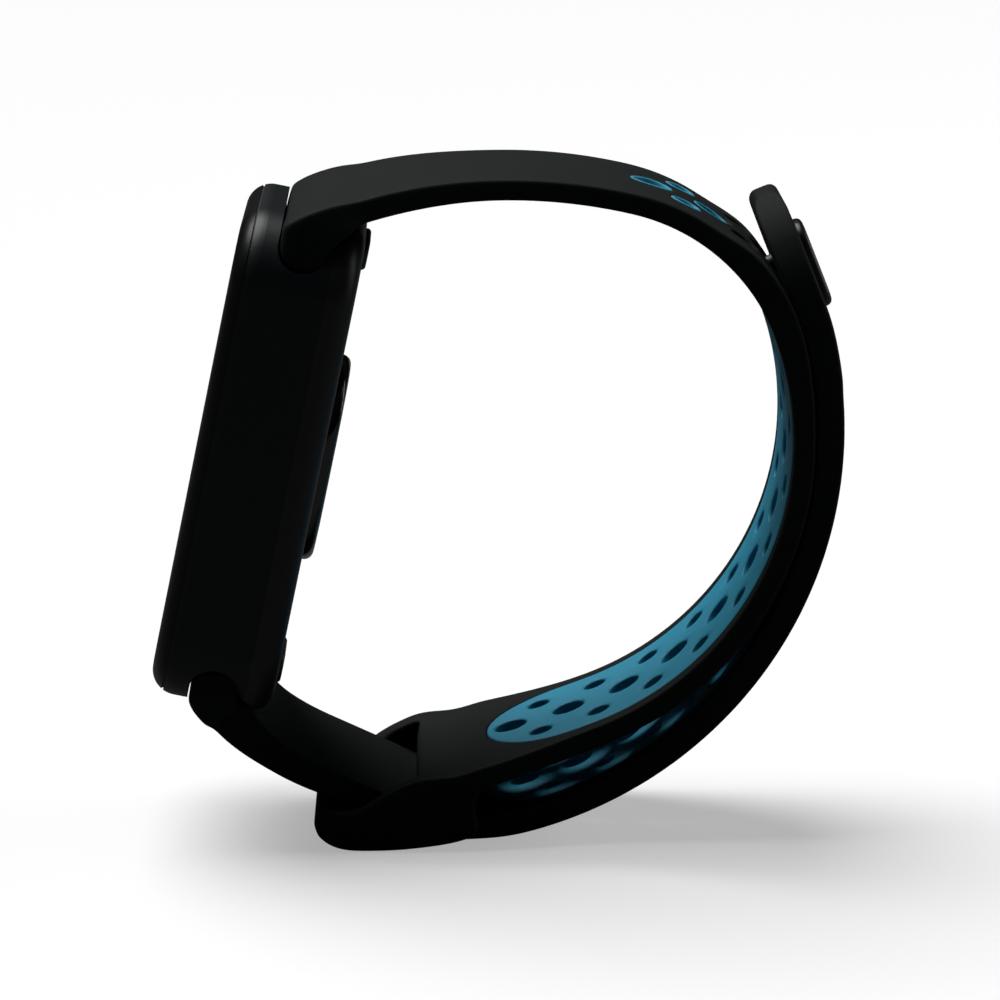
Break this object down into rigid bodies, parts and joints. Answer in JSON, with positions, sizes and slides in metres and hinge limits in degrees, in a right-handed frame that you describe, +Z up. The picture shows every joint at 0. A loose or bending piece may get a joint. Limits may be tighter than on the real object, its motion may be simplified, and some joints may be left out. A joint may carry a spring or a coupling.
{
  "type": "fitness tracker band",
  "caption": "Slim fitness tracker on a closed two-piece silicone strap with a perforated coloured liner, a loop and a peg closure.",
  "frame": {"origin": "bottom centre of the whole object's box, as it stands on its strap loop", "axes": "+Z up; +X from the tracker to the closure, in the plane of the loop; Y across the strap"},
  "size_m": [0.0592, 0.025, 0.0581],
  "materials": {
    "glass": "dark gloss",
    "adhesive": "matte",
    "display": "gloss",
    "sheet_metal": "brushed",
    "flex": "satin",
    "case": "fine matte",
    "cover": "satin",
    "seal": "matte",
    "sensor_window": "gloss",
    "black_plastic": "matte",
    "emitter": "clear",
    "chip": "matte",
    "board": "solder mask",
    "battery": "foil",
    "weight": "sintered",
    "contact": "plated",
    "button": "satin",
    "strap": "matte silicone",
    "liner": "matte silicone",
    "closure": "satin"
  },
  "bodies": {
    "band": {"back_cover": "cover", "back_cover_seal": "seal", "battery_adhesive_pad": "adhesive", "battery_cell": "battery", "battery_lead": "flex", "bluetooth_antenna": "chip", "board_screws": "sheet_metal", "case_frame": "case", "charging_contacts": "contact", "contact_insulator": "black_plastic", "display_bracket": "sheet_metal", "display_flex_cable": "flex", "display_panel": "display", "front_glass": "glass", "glass_adhesive_ring": "adhesive", "lower_latch_spring": "sheet_metal", "lower_strap": "strap", "lower_strap_core_bar": "sheet_metal", "lower_strap_liner": "liner", "main_board": "board", "memory_chip": "chip", "motion_sensor_chip": "chip", "photodiodes": "chip", "power_chip": "chip", "processor_chip": "chip", "sensor_barrier": "black_plastic", "sensor_board": "board", "sensor_flex_cable": "flex", "sensor_leds": "emitter", "sensor_window": "sensor_window", "upper_latch_spring": "sheet_metal", "upper_strap": "strap", "upper_strap_core_bar": "sheet_metal", "upper_strap_liner": "liner", "vibration_motor_can": "sheet_metal"},
    "strap_tip": {"strap_tip": "strap", "closure_stud": "closure"},
    "upper_button": {"upper_release_button": "button"},
    "lower_button": {"lower_release_button": "button"},
    "motor_rotor": {"vibration_motor_rotor": "weight", "vibration_motor_shaft": "sheet_metal"}
  },
  "joints": [
    {"name": "tip_peel", "type": "hinge", "parent": "band", "child": "strap_tip", "pos_m": [0.02945, 0, 0.03907], "axis": [0, 1, 0], "range_deg": [0, 40], "stiffness_Nm_per_rad": 0.002},
    {"name": "upper_button_press", "type": "slide", "parent": "band", "child": "upper_button", "axis": [-0.9785, 0, 0.2062], "range_m": [0, 0.0004], "stiffness_N_per_m": 30},
    {"name": "lower_button_press", "type": "slide", "parent": "band", "child": "lower_button", "axis": [-0.9785, 0, 0.2062], "range_m": [0, 0.0004], "stiffness_N_per_m": 30},
    {"name": "motor_spin", "type": "hinge", "parent": "band", "child": "motor_rotor", "pos_m": [-0.01851, 0.0058, 0.04246], "axis": [0.9785, 0, -0.2062], "continuous": true}
  ]
}
